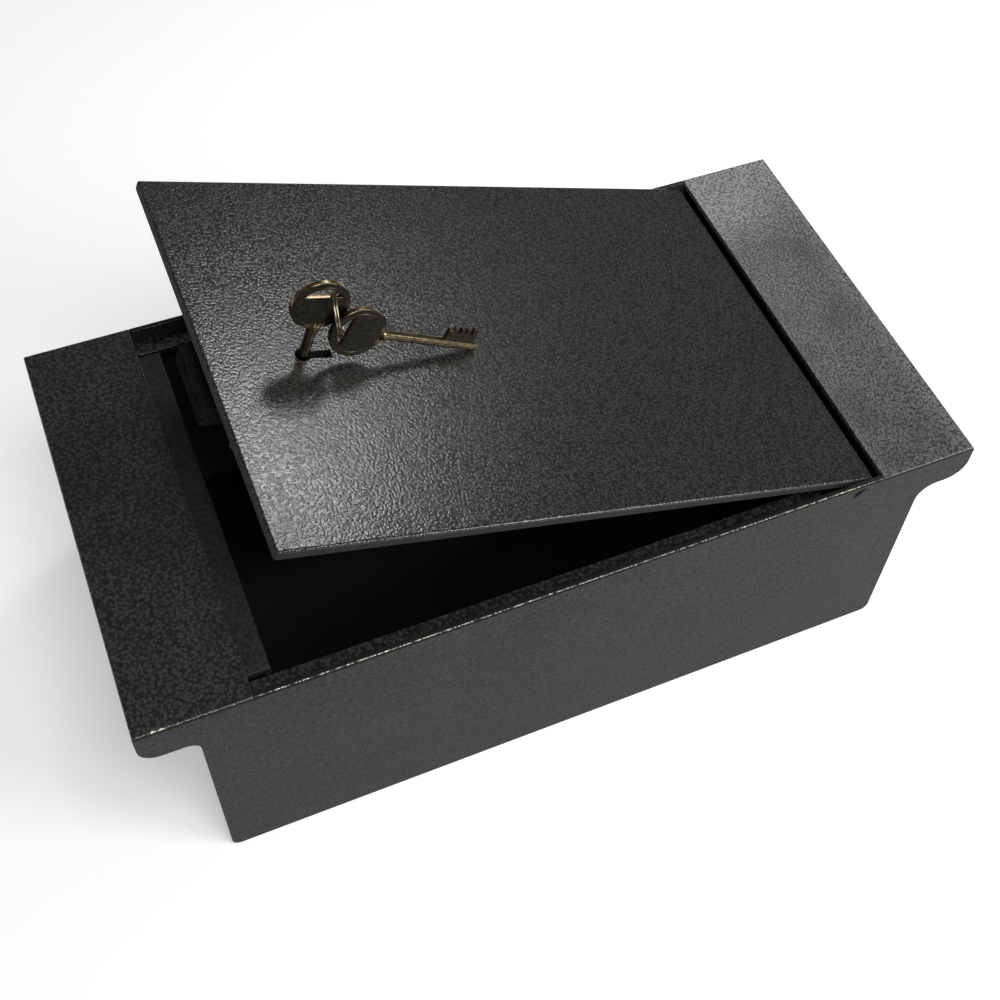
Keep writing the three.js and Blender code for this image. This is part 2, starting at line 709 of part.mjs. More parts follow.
piece(safe, 'body_shell', bodyShell(), satinPaint);
piece(safe, 'front_plate', sidePlate(-1), satinPaint);
piece(safe, 'back_plate', sidePlate(1), satinPaint);
piece(safe, 'lock_end_plate', topPlate(-1), hammerPaint);
piece(safe, 'hinge_end_plate', topPlate(1), hammerPaint);
piece(safe, 'keep_ledge', keepLedge(), satinPaint);
piece(safe, 'front_ledge', sideLedge(-1), hammerPaint);
piece(safe, 'back_ledge', sideLedge(1), hammerPaint);
piece(safe, 'hinge_pin_front', hingePin(-1), platedSteel);
piece(safe, 'hinge_pin_back', hingePin(1), platedSteel);

const lidGroup = new THREE.Group();
lidGroup.position.copy(pivot);
lidGroup.rotation.y = THREE.MathUtils.degToRad(lidOpenDegrees);
safe.add(lidGroup);
const lid = new THREE.Group();
lid.position.copy(pivot).negate();
lidGroup.add(lid);

piece(lid, 'lid_plate', lidPlate(), hammerPaint);
piece(lid, 'hinge_strap_front', hingeStrap(-1), blackPaint);
piece(lid, 'hinge_strap_back', hingeStrap(1), blackPaint);
piece(lid, 'lock_case', lockCase(), platedSteel);
piece(lid, 'lock_cover', lockCover(), platedSteel);
piece(lid, 'lever_post', leverPost(), platedSteel);
screwPlaces.forEach((place, index) => {
  piece(lid, `lock_stud_${index + 1}`, lockStud(place), blackPaint);
  piece(lid, `lock_screw_${index + 1}`, lockScrew(place), platedSteel);
});
piece(lid, 'bolt', bolt(), platedSteel);
piece(lid, 'curtain', curtain(), blackPaint);
leverStepHeights.forEach((_, index) => {
  piece(lid, `lever_${index + 1}`, lever(index), brass);
  piece(lid, `lever_spring_${index + 1}`, leverSpring(index), springSteel);
});
piece(lid, 'key', keyGeometry().translate(keyX, keyY, keyTip), keyMetal);
piece(lid, 'key_ring', splitRing(ringInKey, ringInSpare), platedSteel);
piece(lid, 'spare_key', spareKey(), keyMetal);

export default safe;
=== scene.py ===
# %% [markdown]
# An underfloor safe, dressed for its photograph.
#
# The real thing is a welded steel box that hangs between two floor joists. Its plate lid stands a little
# open, a lever lock hangs under the lid, and two keys on a split ring are with it. Every size and place
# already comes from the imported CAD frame, so this lesson is about surfaces: edges that catch the light,
# hammered paint, weld beads, turned keys, and the studio light they are seen in.

# %% Load the frame
import bmesh
import bpy
from math import asin, cos, pi, radians, sin
from mathutils import Matrix, Vector


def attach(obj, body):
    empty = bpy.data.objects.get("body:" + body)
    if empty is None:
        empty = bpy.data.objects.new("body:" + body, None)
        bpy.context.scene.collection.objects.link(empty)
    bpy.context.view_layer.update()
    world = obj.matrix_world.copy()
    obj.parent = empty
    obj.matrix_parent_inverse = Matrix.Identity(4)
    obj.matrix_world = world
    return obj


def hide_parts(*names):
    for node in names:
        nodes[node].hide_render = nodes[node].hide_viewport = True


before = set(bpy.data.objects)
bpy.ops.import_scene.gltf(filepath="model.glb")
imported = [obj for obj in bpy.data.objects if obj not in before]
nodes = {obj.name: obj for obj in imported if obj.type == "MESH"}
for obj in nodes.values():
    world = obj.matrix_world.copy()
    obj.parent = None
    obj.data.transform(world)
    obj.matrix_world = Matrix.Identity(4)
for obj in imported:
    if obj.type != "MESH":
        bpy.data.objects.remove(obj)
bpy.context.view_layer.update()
mm = 0.001

# %% [markdown]
# The camera comes first, because every later choice is judged through it. It could be placed by eye, but
# a pinhole camera was fitted to the box's corners in the photograph, so its place, its three angles, its
# lens and the small shift of its axis are simply given. The sensor is 36 mm wide, as Blender's is.

# %% Camera
camera_place = Vector((-170.6, -385.9, 673.8)) * mm
camera_heading = radians(27.9)
camera_tilt = radians(53.4)
camera_roll = radians(5.46)
camera_lens = 52.03
camera_shift = (-0.0584, -0.0570)


def aim(heading, tilt, roll):
    """The camera's turning matrix: it looks along heading, tilted down, and is then rolled."""
    forward = Vector((sin(heading) * cos(tilt), cos(heading) * cos(tilt), -sin(tilt)))
    level = forward.cross(Vector((0, 0, 1))).normalized()
    rise = level.cross(forward)
    right = level * cos(roll) + rise * sin(roll)
    up = right.cross(forward)
    return Matrix((right, up, -forward)).transposed().to_4x4()


lens = bpy.data.cameras.new("photo_camera")
lens.lens = camera_lens
lens.shift_x, lens.shift_y = camera_shift
lens.clip_start = 0.01
camera = bpy.data.objects.new("photo_camera", lens)
camera.matrix_world = Matrix.Translation(camera_place) @ aim(camera_heading, camera_tilt, camera_roll)
bpy.context.scene.collection.objects.link(camera)
bpy.context.scene.camera = camera
print("camera at", tuple(round(v, 3) for v in camera_place))

# %% [markdown]
# The photograph has one soft lamp, behind and to the right. It gives the glare on the lid's near corner
# and the keys' shadows that fall down and to the left. A sun would give hard shadows, so a round area
# lamp is used, as large as the blur of those shadows asks for, and close enough for the glare to fade
# across the lid. A wider and much weaker panel beside it is its halo, for the hinge end. Two more panels
# stand in front: one on the right for the long side, and one above the camera that reaches the ledges and
# draws the bright top edge. The world gives only a dim, even fill, because black paint shows whatever is
# bright around it.

# %% Lamp and fill
keys_middle = Vector((-0.09, -0.006, 0.22))
lamp_direction = Vector((0.550, 0.512, 0.660)).normalized()
lamp_distance = 0.8
lamp_size = 0.175
lamp_watts = 1.52
hinge_end_middle = Vector((0.17, 0.03, 0.135))
halo_direction = Vector((0.42, 0.62, 0.66)).normalized()
halo_distance = 0.75
halo_size = 0.3
halo_watts = 0.1
side_place = Vector((0.95, -0.85, 0.8))
side_size = 0.5
side_watts = 10
top_place = Vector((0.05, -0.75, 1.6))
top_size = 0.6
top_watts = 13
fill_colour = (0.96, 0.98, 1, 1)
fill_strength = 0.15


def area_lamp(name, shape, size, watts, place, direction):
    """A lamp that stands at a place and shines against the direction."""
    data = bpy.data.lights.new(name, "AREA")
    data.shape = shape
    data.size = size
    data.energy = watts
    lamp = bpy.data.objects.new(name, data)
    lamp.location = place
    lamp.rotation_euler = direction.to_track_quat("Z", "Y").to_euler()
    bpy.context.scene.collection.objects.link(lamp)
    print(name, "at", tuple(round(v, 2) for v in place))


lamp_place = keys_middle + lamp_direction * lamp_distance
halo_place = hinge_end_middle + halo_direction * halo_distance
area_lamp("softbox", "DISK", lamp_size, lamp_watts, lamp_place, lamp_direction)
area_lamp("halo", "SQUARE", halo_size, halo_watts, halo_place, halo_direction)
area_lamp("side_panel", "SQUARE", side_size, side_watts, side_place, side_place)
area_lamp("top_panel", "SQUARE", top_size, top_watts, top_place, top_place)

world = bpy.data.worlds.new("studio")
world.use_nodes = True
sky = world.node_tree.nodes["Background"]
sky.inputs["Color"].default_value = fill_colour
sky.inputs["Strength"].default_value = fill_strength
bpy.context.scene.world = world
bpy.context.scene.view_settings.view_transform = "Standard"

# %% [markdown]
# Finishes are node materials. Wiring each sum by hand hides what it means, so one small class wraps a
# socket and lets Python's own signs add the Math nodes: gloss + cloud * 0.2 reads as it is meant. Every
# other node comes from one method that takes its type, its settings and what goes into its sockets.

# %% A socket that knows sums, and a material made of them
edge_fade = 0.15 * mm
edge_chips = 1.2 * mm
handled_from = (-150 * mm, -140 * mm)
handled_to = (146 * mm, 136 * mm)
least_handled = 0.35


class Field:
    """A node's output. Sums of fields and numbers add the Math or Vector Math nodes that work them out."""

    def __init__(self, finish, output):
        self.finish = finish
        self.output = output

    def sum(self, operation, first, second):
        vectors = any(isinstance(side, Field) and side.output.type == "VECTOR" for side in (first, second))
        kind = "ShaderNodeVectorMath" if vectors else "ShaderNodeMath"
        return self.finish.node(kind, {"operation": operation}, {0: first, 1: second})

    def __add__(self, other):
        return self.sum("ADD", self, other)

    def __radd__(self, other):
        return self.sum("ADD", other, self)

    def __sub__(self, other):
        return self.sum("SUBTRACT", self, other)

    def __mul__(self, other):
        return self.sum("MULTIPLY", self, other)

    def step(self, low, high):
        """0 below low, 1 above high and smooth between them; low may be the larger."""
        sockets = {0: self, 1: low, 2: high}
        return self.finish.node("ShaderNodeMapRange", {"interpolation_type": "SMOOTHSTEP"}, sockets)


class Finish:
    """A material for one of the record's slots, built from fields around its Principled shader."""

    def __init__(self, name, slot):
        self.slot = slot
        self.material = bpy.data.materials.new(name)
        self.material.use_nodes = True
        self.tree = self.material.node_tree
        self.shader = self.tree.nodes["Principled BSDF"]
        self.place = self.node("ShaderNodeTexCoord", output="Object")

    def node(self, kind, settings=None, sockets=None, output=0):
        made = self.tree.nodes.new(kind)
        for setting, value in (settings or {}).items():
            setattr(made, setting, value)
        for socket, value in (sockets or {}).items():
            self.feed(made.inputs[socket], value)
        return Field(self, made.outputs[output])

    def feed(self, socket, value):
        if isinstance(value, Field):
            self.tree.links.new(value.output, socket)
        elif socket.type == "VECTOR" and not hasattr(value, "__len__"):
            socket.default_value = (value, value, value)
        else:
            socket.default_value = value

    def set(self, **sockets):
        for name, value in sockets.items():
            self.feed(self.shader.inputs[name.replace("_", " ")], value)

    def grain(self, size, detail, place=None):
        """Cloudy noise between 0 and 1 whose blobs are about size metres across."""
        sockets = {"Vector": place or self.place, "Scale": 1 / size, "Detail": detail}
        return self.node("ShaderNodeTexNoise", None, sockets)

    def stretched(self, scale):
        """The object's place, scaled, for a pattern that runs one way."""
        return self.node("ShaderNodeMapping", None, {"Vector": self.place, "Scale": scale})

    def cells(self, size, softness, wander):
        """Distance from the middle of the nearest cell, with the cells' borders made to wander."""
        drift = self.node("ShaderNodeTexNoise", None, {"Vector": self.place, "Scale": 1 / size}, "Color")
        middle = self.node("ShaderNodeVectorMath", {"operation": "SUBTRACT"}, {0: drift, 1: (0.5, 0.5, 0.5)})
        place = self.place + middle * (size * wander)
        sockets = {"Vector": place, "Scale": 1 / size, "Smoothness": softness}
        return self.node("ShaderNodeTexVoronoi", {"feature": "SMOOTH_F1"}, sockets, "Distance")

    def blend(self, first, second, share):
        """A colour between two colours."""
        sockets = {0: share, 6: first, 7: second}
        return self.node("ShaderNodeMix", {"data_type": "RGBA"}, sockets, 2)

    def along(self, axis):
        """How far the place lies along one axis of the frame, in metres."""
        return self.node("ShaderNodeSeparateXYZ", None, {"Vector": self.place}, axis)

    def worn(self, low, high, patch):
        """1 where paint is worn off an edge between two heights, most where the edge was handled."""
        up = self.along("Z")
        across = self.along("X")
        band = up.step(low, low + edge_fade) * up.step(high, high - edge_fade)
        handled = across.step(*handled_from) * across.step(*handled_to) * (1 - least_handled) + least_handled
        patches = self.grain(patch, 2).step(0.32, 0.48)
        chips = self.grain(edge_chips, 1).step(0.35, 0.6)
        return band * handled * patches * chips

    def spot(self, centre, radius):
        """1 near a place in the frame and 0 away from it."""
        sockets = {0: self.place, 1: tuple(centre)}
        away = self.node("ShaderNodeVectorMath", {"operation": "DISTANCE"}, sockets, "Value")
        return away.step(radius, radius * 0.4)

    def relief(self, height, depth):
        """Feeds the shader's normal: height runs from 0 to 1 and stands for depth metres."""
        sockets = {"Height": height, "Distance": depth, "Strength": 1}
        self.set(Normal=self.node("ShaderNodeBump", None, sockets))


def grey(value):
    return (value, value, value, 1)


# %% [markdown]
# Hammered paint is a stoving enamel with a little metal flake. As it dries it draws itself into small
# domes with creases between them, coarser where it lies thick. Real relief would need millions of faces,
# so rounded cells drive a bump, a finer grain breaks them up, and slow clouds change colour and gloss as
# spraying does. The creases are painted darker and the domes lighter: painted shade and painted sheen.
# The hinge end is painted lighter still, most in its middle and along its two rims: a painted sheen.
# The rounded top edges are worn to bare steel in patches, with three scuffs at the near corner.

# %% Hammered paint
worn_heights = (134.5 * mm, 134.95 * mm)
worn_patch = 5 * mm
bare_steel = (0.24, 0.23, 0.20, 1)
scuffs = [
    (Vector((-190.5, -105.7, 135)) * mm, 2.4 * mm),
    (Vector((-187.5, -105.8, 135)) * mm, 2 * mm),
    (Vector((-142.5, -98, 127.5)) * mm, 1.2 * mm),
]
# Where the hinge end is painted lighter, a painted sheen: its middle and its two rims.
sheen_middle = Vector((158, 103, 135)) * mm
sheen_radius = 62 * mm
inner_rim = (155 * mm, 146 * mm)
outer_rim = (187 * mm, 197 * mm)
rim_sheen_share = 0.3
sheen_grey = 0.24
spray_clouds = 26 * mm


def hammered(name, cell, depth, gloss, low, high, fullness, smudge, worn=True, painted_sheen=False):
    """Cell is the domes' spacing, and low and high are the greys painted in the creases and on the domes:
    painted shade in the creases, painted sheen on the domes.
    """
    paint = Finish(name, "hammer_paint")
    dome = paint.cells(cell, 0.15, 0.6).step(0.8, fullness)
    skin = paint.grain(cell * 0.5, 2)
    cloud = paint.grain(spray_clouds, 3)
    tone = dome * 0.5 + skin * 0.5
    # The creases are painted darker and the dome tops lighter: painted shade and painted sheen.
    crease_shade_dome_sheen = paint.blend(grey(low), grey(high), tone.step(0.2, 0.8))
    coat = paint.blend(crease_shade_dome_sheen, grey(low * 0.8), cloud.step(0.42, 0.7) * smudge)
    if painted_sheen:
        # Painted sheen: the middle and the two rims are painted lighter.
        across = paint.along("X")
        rims = across.step(*inner_rim) + across.step(*outer_rim)
        middle = paint.spot(sheen_middle, sheen_radius)
        coat = paint.blend(coat, grey(sheen_grey), (middle + rims * rim_sheen_share) * tone.step(0.1, 0.7))
    if worn:
        bare = paint.worn(*worn_heights, worn_patch)
        for centre, radius in scuffs:
            bare = bare + paint.spot(centre, radius) * skin.step(0.3, 0.5)
        bare = bare.step(0, 1)
        coat = paint.blend(coat, bare_steel, bare)
        paint.set(Metallic=bare)
    paint.set(Base_Color=coat, Roughness=gloss + (cloud - 0.5) * 0.2 + (skin - 0.5) * 0.12)
    paint.relief(dome * 0.6 + skin * 0.6, depth)
    return paint


lid_paint = hammered(
    "lid_hammered_paint", cell=1.25 * mm, depth=0.11 * mm, gloss=0.18,
    low=0.010, high=0.042, fullness=0.1, smudge=0.15, worn=False,
)
flange_paint = hammered(
    "flange_hammered_paint", cell=1.7 * mm, depth=0.19 * mm, gloss=0.30,
    low=0.010, high=0.050, fullness=0.1, smudge=0.3,
)
# Lighter greys than the flange's paint: a painted sheen, strongest in the middle and along the rims.
hinge_paint = hammered(
    "hinge_hammered_paint", cell=1.4 * mm, depth=0.19 * mm, gloss=0.34,
    low=0.024, high=0.110, fullness=0.2, smudge=0.5, painted_sheen=True,
)
print("hammered paints:", *(paint.material.name for paint in (lid_paint, flange_paint, hinge_paint)))

# %% [markdown]
# The sides of the box carry the same black in a flatter coat: a satin charcoal with a fine, dusty grain
# and no cells. The grain is a small noise, and a slower one keeps the large front from looking like
# plastic.

# %% Satin paint
crown_heights = (133.4 * mm, 134.2 * mm)
crown_gloss = 0.3
dust_clouds = 50 * mm


def satin(name, slot, shade, gloss, depth, shine=0.2, worn=False):
    """Where it is worn, the rounded top edge is darker and glossier, and worn through in patches."""
    paint = Finish(name, slot)
    grain = paint.grain(1.9 * mm, 3)
    speck = paint.grain(0.8 * mm, 1)
    cloud = paint.grain(dust_clouds, 3)
    tone = grain * 0.45 + speck * 0.35 + cloud * 0.2
    colour = paint.blend(grey(shade * 0.4), grey(shade * 1.6), tone.step(0.3, 0.7))
    rough = gloss + (cloud - 0.5) * 0.15 + (grain - 0.5) * 0.2
    if worn:
        bare = paint.worn(*worn_heights, worn_patch)
        crown = paint.along("Z").step(*crown_heights)
        colour = paint.blend(paint.blend(colour, grey(shade * 0.5), crown), bare_steel, bare)
        paint.set(Metallic=bare)
        rough = rough - crown * (gloss - crown_gloss)
    paint.set(Base_Color=colour, Roughness=rough, Specular_IOR_Level=shine)
    paint.relief(grain * 0.6 + speck * 0.4, depth)
    return paint


side_paint = satin("side_satin_paint", "satin_paint", 0.034, 0.5, 0.3 * mm, 0.08, worn=True)
strip_paint = satin("strip_satin_paint", "satin_paint", 0.025, 0.5, 0.10 * mm)
# Near black for the inside of the box and its inner welds: painted shade, as the inside lies in shadow.
inner_shade_paint = satin("shaded_inner_black_paint", "satin_paint", 0.004, 0.6, 0.10 * mm)
# A darker, duller paint for the lid's edges: painted shade, for edges the lamps hardly reach.
lid_edge_shade_paint = satin("shaded_lid_edge_paint", "hammer_paint", 0.016, 0.6, 0.06 * mm, 0.1)
weld_paint = satin("welded_black_paint", "black_paint", 0.012, 0.45, 0.06 * mm)
# Near black with no specular at all: painted shade, for the bolt end that sits in shadow under the lid.
bolt_shade_coat = satin("shaded_bolt_steel", "plated_steel", 0.014, 0.5, 0.04 * mm, 0)
satin_paints = (side_paint, strip_paint, inner_shade_paint, lid_edge_shade_paint, weld_paint, bolt_shade_coat)
print("satin paints:", *(paint.material.name for paint in satin_paints))

# %% [markdown]
# The lock is zinc-plated steel, but its colour is far darker than zinc: a painted shade, for parts that
# sit in shadow under the lid and inside the box. Plating has a faint cloudy spangle and rolling lines
# that run along the strip, so a noise is stretched along X for the lines, and a rounder one changes the
# gloss. The springs and the ring are steel wire and strip with the same marks and other colours.

# %% Plated and spring steel
def plated(name, slot, shade, gloss, tint=(1, 1, 1)):
    metal = Finish(name, slot)
    lines = metal.grain(1 * mm, 3, metal.stretched((0.06, 1, 1)))
    cloud = metal.grain(4 * mm, 4)
    dull = metal.grain(12 * mm, 2)
    dark, pale = ((*(shade * part * share for part in tint), 1) for share in (0.72, 1.1))
    metal.set(
        Base_Color=metal.blend(dark, pale, (cloud * 0.6 + lines * 0.4).step(0.3, 0.7)),
        Roughness=gloss + (cloud - 0.5) * 0.2 + (dull - 0.5) * 0.2,
        Metallic=1.0,
    )
    metal.relief(lines * 0.7 + cloud * 0.3, 0.012 * mm)
    return metal


# Far darker than zinc: painted shade, for the lock and pins in shadow under the lid and inside the box.
plate_metal = plated("shaded_plated_steel", "plated_steel", 0.05, 0.45)
spring_metal = plated("blued_spring_steel", "spring_steel", 0.16, 0.3)
ring_metal = plated("worn_nickel_ring", "ring_steel", 0.42, 0.22, (1, 0.86, 0.6))
print("metals:", plate_metal.material.name, spring_metal.material.name, ring_metal.material.name)

# %% [markdown]
# The levers are stamped brass and the keys are cast brass that has tarnished. Both are yellow metal; what
# tells them apart is dirt. Stamped sheet keeps its fine rolling lines. A key's flat faces are darker than
# its rims and its round shank: tarnish, and a painted shade for the dark surroundings those faces mirror,
# so a key has two finishes.

# %% Brass
stamped_brown = (0.42, 0.27, 0.09, 1)
stamped_yellow = (0.74, 0.53, 0.22, 1)


def sheet_brass(name):
    metal = Finish(name, "lever_brass")
    lines = metal.grain(0.8 * mm, 3, metal.stretched((0.08, 1, 1)))
    stain = metal.grain(5 * mm, 3)
    metal.set(
        Base_Color=metal.blend(stamped_brown, stamped_yellow, (lines * 0.5 + stain * 0.5).step(0.3, 0.7)),
        Roughness=0.3 + (stain - 0.5) * 0.25,
        Metallic=1.0,
    )
    metal.relief(lines, 0.01 * mm)
    return metal


def key_brass(name, dark, pale, gloss):
    metal = Finish(name, "key_metal")
    film = metal.grain(2.4 * mm, 4)
    pits = metal.grain(0.5 * mm, 3)
    metal.set(
        Base_Color=metal.blend(dark, pale, (film * 0.5 + pits * 0.5).step(0.35, 0.68)),
        Roughness=gloss + (film - 0.5) * 0.2 + (pits - 0.5) * 0.1,
        Metallic=1.0,
    )
    metal.relief(pits * 0.6 + film * 0.4, 0.01 * mm)
    return metal


lever_metal = sheet_brass("stamped_lever_brass")
key_metal = key_brass("handled_key_brass", (0.10, 0.078, 0.048, 1), (0.32, 0.255, 0.155, 1), 0.22)
# Flat faces: tarnish and painted shade, darker than the rims because they mirror dark surroundings.
tarnish_and_shade_faces = key_brass("tarnished_and_shaded_key_faces", (0.038, 0.035, 0.028, 1), (0.098, 0.088, 0.066, 1), 0.32)
print("brasses:", *(metal.material.name for metal in (lever_metal, key_metal, tarnish_and_shade_faces)))

# %% [markdown]
# Every piece is made in a bmesh and then needs the same last steps: which edges stay crisp, its material
# and the body it rides on. One helper does that. A weighted normal modifier
# lets the large flat faces keep their own direction, so only the narrow rounded edges shade from one to
# the next. Three smaller helpers draw what the shapes have in common: a round section, one length of an
# extrusion that goes on from it, and a rounded edge.


# %% From a bmesh to a riding piece
def round_section(shape, radius, corners, placing, filled=True):
    made = bmesh.ops.create_circle(shape, cap_ends=filled, radius=radius, segments=corners, matrix=placing)
    return made["verts"]


def extrude(shape, faces):
    """Starts an extrusion of the faces, and gives its new corners and faces, which are then moved."""
    grown = bmesh.ops.extrude_face_region(shape, geom=faces)["geom"]
    verts = [part for part in grown if isinstance(part, bmesh.types.BMVert)]
    return verts, [part for part in grown if isinstance(part, bmesh.types.BMFace)]


def round_edges(shape, edges, radius, segments):
    bmesh.ops.bevel(
        shape, geom=edges, offset=radius, offset_type="OFFSET", affect="EDGES",
        segments=segments, profile=0.5, material=-1, clamp_overlap=True,
    )


def piece(name, shape, body, finish, *stands_for, crisp=35):
    for face in shape.faces:
        face.smooth = True
    for edge in shape.edges:
        edge.smooth = edge.calc_face_angle(0) < radians(crisp)
    mesh = bpy.data.meshes.new(name)
    shape.to_mesh(mesh)
    shape.free()
    made = bpy.data.objects.new(name, mesh)
    bpy.context.scene.collection.objects.link(made)
    mesh.materials.append(finish.material)
    even = made.modifiers.new("even_faces", "WEIGHTED_NORMAL")
    even.keep_sharp = True
    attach(made, body)
    if stands_for:
        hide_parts(*stands_for)
    print(name, "faces:", len(mesh.polygons))
    return made


# %% [markdown]
# Folded sheet and cut plate never have knife edges, and paint rounds them further. The CAD solids have
# sharp ones, so each is copied, its loose triangles are merged back into whole faces, and its corners get
# a small round bevel. The copy stands for the node, which itself is never touched. The seam under the end
# plates was ground flush before painting, so its edges stay sharp and nothing shows of it. Some plates
# have two finishes: the shell is satin outside and near black within, a painted shade for the deep box,
# the end plates are satin where they go on from the front and the back, and the lid's edges are painted
# darker and duller than its top, a painted shade.

# %% Rounded copies of the plates
lid_opening = radians(19.1)
ground_seam = 132 * mm
box_inside_y = 103 * mm
box_inside_x = 172.5 * mm
box_floor = 3 * mm
past_inside = 0.3 * mm
merge_distance = 0.01 * mm
box_edge = 0.5 * mm
lid_edge = 0.35 * mm


def ground_flush(edge):
    return all(abs(vert.co.z - ground_seam) < 0.05 * mm for vert in edge.verts)


def rounded_copy(node, name, body, finish, radius):
    """A copy of a node's solid whose edges that turn more than 30 degrees are rounded."""
    shape = bmesh.new()
    shape.from_mesh(nodes[node].data)
    bmesh.ops.remove_doubles(shape, verts=shape.verts, dist=merge_distance)
    bmesh.ops.dissolve_limit(shape, angle_limit=radians(0.4), verts=shape.verts, edges=shape.edges)
    corners = [edge for edge in shape.edges if edge.calc_face_angle(0) > radians(30)]
    round_edges(shape, [edge for edge in corners if not ground_flush(edge)], radius, 3)
    return piece(name, shape, body, finish, node)


def second_finish(made, finish, chosen):
    """Gives another finish to the faces that chosen() picks."""
    made.data.materials.append(finish.material)
    for face in made.data.polygons:
        face.material_index = int(chosen(face))


def outside_the_box(face):
    return abs(face.center.x) > box_inside_x + past_inside or face.center.z < box_floor - past_inside


def faces_sideways(face):
    return abs(face.normal.y) > 0.75


def on_the_lid_edge(face):
    lid_up = Vector((sin(lid_opening), 0, cos(lid_opening)))
    return abs(face.normal.dot(lid_up)) < 0.3


# The shell is near black within: painted shade.
shell = rounded_copy("body_shell", "folded_shell", "safe_body", inner_shade_paint, box_edge)
second_finish(shell, side_paint, outside_the_box)
rounded_copy("front_plate", "front_side", "safe_body", side_paint, box_edge)
rounded_copy("back_plate", "back_side", "safe_body", side_paint, box_edge)
lock_end = rounded_copy("lock_end_plate", "lock_end_top", "safe_body", flange_paint, box_edge)
second_finish(lock_end, side_paint, faces_sideways)
hinge_end = rounded_copy("hinge_end_plate", "hinge_end_top", "safe_body", hinge_paint, box_edge)
second_finish(hinge_end, side_paint, faces_sideways)
rounded_copy("keep_ledge", "keep_strip", "safe_body", strip_paint, box_edge)
rounded_copy("front_ledge", "front_rest", "safe_body", flange_paint, box_edge)
rounded_copy("back_ledge", "back_rest", "safe_body", flange_paint, box_edge)
lid = rounded_copy("lid_plate", "hammered_lid", "lid", lid_paint, lid_edge)
# The lid's edges get the darker, duller paint: painted shade.
second_finish(lid, lid_edge_shade_paint, on_the_lid_edge)

# %% [markdown]
# The lock's own parts are machined or pressed and have smaller edge breaks than the box. They get the
# same treatment with a finer radius. The pins, studs, screws, curtain and all that the closed case hides
# keep their CAD solids, which already have the right shape, and only get their finishes.

# %% Lock parts
machined_edge = 0.25 * mm
rounded_copy("hinge_strap_front", "front_strap", "lid", weld_paint, machined_edge)
rounded_copy("hinge_strap_back", "back_strap", "lid", weld_paint, machined_edge)
rounded_copy("lock_case", "pressed_case", "lid", plate_metal, machined_edge)
rounded_copy("lock_cover", "case_cover", "lid", plate_metal, machined_edge)
rounded_copy("bolt", "machined_bolt", "bolt", bolt_shade_coat, machined_edge)

kept_finishes = {
    "hinge_pin_front": plate_metal,
    "hinge_pin_back": plate_metal,
    "lever_post": plate_metal,
    "curtain": weld_paint,
}
kept_finishes.update({f"lock_stud_{number}": weld_paint for number in range(1, 5)})
kept_finishes.update({f"lock_screw_{number}": plate_metal for number in range(1, 5)})
kept_finishes.update({f"lever_{number}": lever_metal for number in range(1, 7)})
kept_finishes.update({f"lever_spring_{number}": spring_metal for number in range(1, 7)})
for node, finish in kept_finishes.items():
    for material_slot in nodes[node].material_slots:
        material_slot.material = finish.material
print("nodes kept as they are:", len(kept_finishes))

# %% [markdown]
# Pieces on the lid are easiest to think of with the lid shut, in the safe's own directions. They are made
# there and then turned by the lid's opening angle about the hinge. The values repeat the CAD's own.

# %% The lid's turn
safe_top = 135 * mm
lid_under = 130.5 * mm
hinge_pivot = Vector((138.5, 0, 125.5)) * mm
lid_turn = Matrix.Translation(hinge_pivot) @ Matrix.Rotation(lid_opening, 4, "Y")
lid_turn = lid_turn @ Matrix.Translation(-hinge_pivot)
key_axis = Vector((-107.6, -6, 0)) * mm
keyhole = lid_turn @ (key_axis + Vector((0, 0, safe_top)))
print("keyhole with the lid open:", tuple(round(v, 4) for v in keyhole))

# %% [markdown]
# A key is turned, stamped and filed. Its bow is a disc with a segment-shaped hole for the ring and a fine
# turned line round each face. The disc could be cut with a boolean, but a profile spun round the bow's
# axis gives clean round edges, and the flat middle is filled between the spun ring and the hole's
# outline.

# %% Key sizes
key_reach = 61.6 * mm
bow_radius = 12.5 * mm
bow_half = 1.25 * mm
bow_edge = 0.45 * mm
bow_line_radius = 10.1 * mm
bow_line_half = 0.15 * mm
bow_line_depth = 0.12 * mm
hole_radius = 9 * mm
hole_flat = 4.7 * mm
hole_edge = 0.3 * mm
shank_radius = 2.15 * mm
collar_radius = 2.7 * mm
collar_height = 2.2 * mm
bit_half = 1.1 * mm
bit_edge = 0.12 * mm
join_distance = 0.002 * mm


# %% The bow
def profile_ring(shape, points, steps):
    """Spins a profile, given as (radius, height) pairs, once round Z."""
    verts = [shape.verts.new((radius, 0, height)) for radius, height in points]
    edges = [shape.edges.new(pair) for pair in zip(verts, verts[1:])]
    whole_turn = {"angle": 2 * pi, "steps": steps, "use_merge": True}
    bmesh.ops.spin(shape, geom=verts + edges, cent=(0, 0, 0), axis=(0, 0, 1), **whole_turn)


def lies_at(part, height):
    """Whether a whole edge or face lies at this height."""
    return all(abs(vert.co.z - height) < 1e-7 for vert in part.verts)


def segment_outline(shape, height):
    """The ring hole's outline: a circle cut off by a straight line, as a loop of edges."""
    disc = round_section(shape, hole_radius, 72, Matrix.Translation((0, 0, height)))
    faces = disc[0].link_faces[:]
    geom = disc + list({edge for face in faces for edge in face.edges}) + faces
    cut = {"plane_co": (0, hole_flat, height), "plane_no": (0, -1, 0), "clear_outer": True}
    bmesh.ops.bisect_plane(shape, geom=geom, **cut)
    face = next(face for face in shape.faces if lies_at(face, height) and len(face.verts) > 20)
    edges = face.edges[:]
    bmesh.ops.delete(shape, geom=[face], context="FACES_ONLY")
    return edges


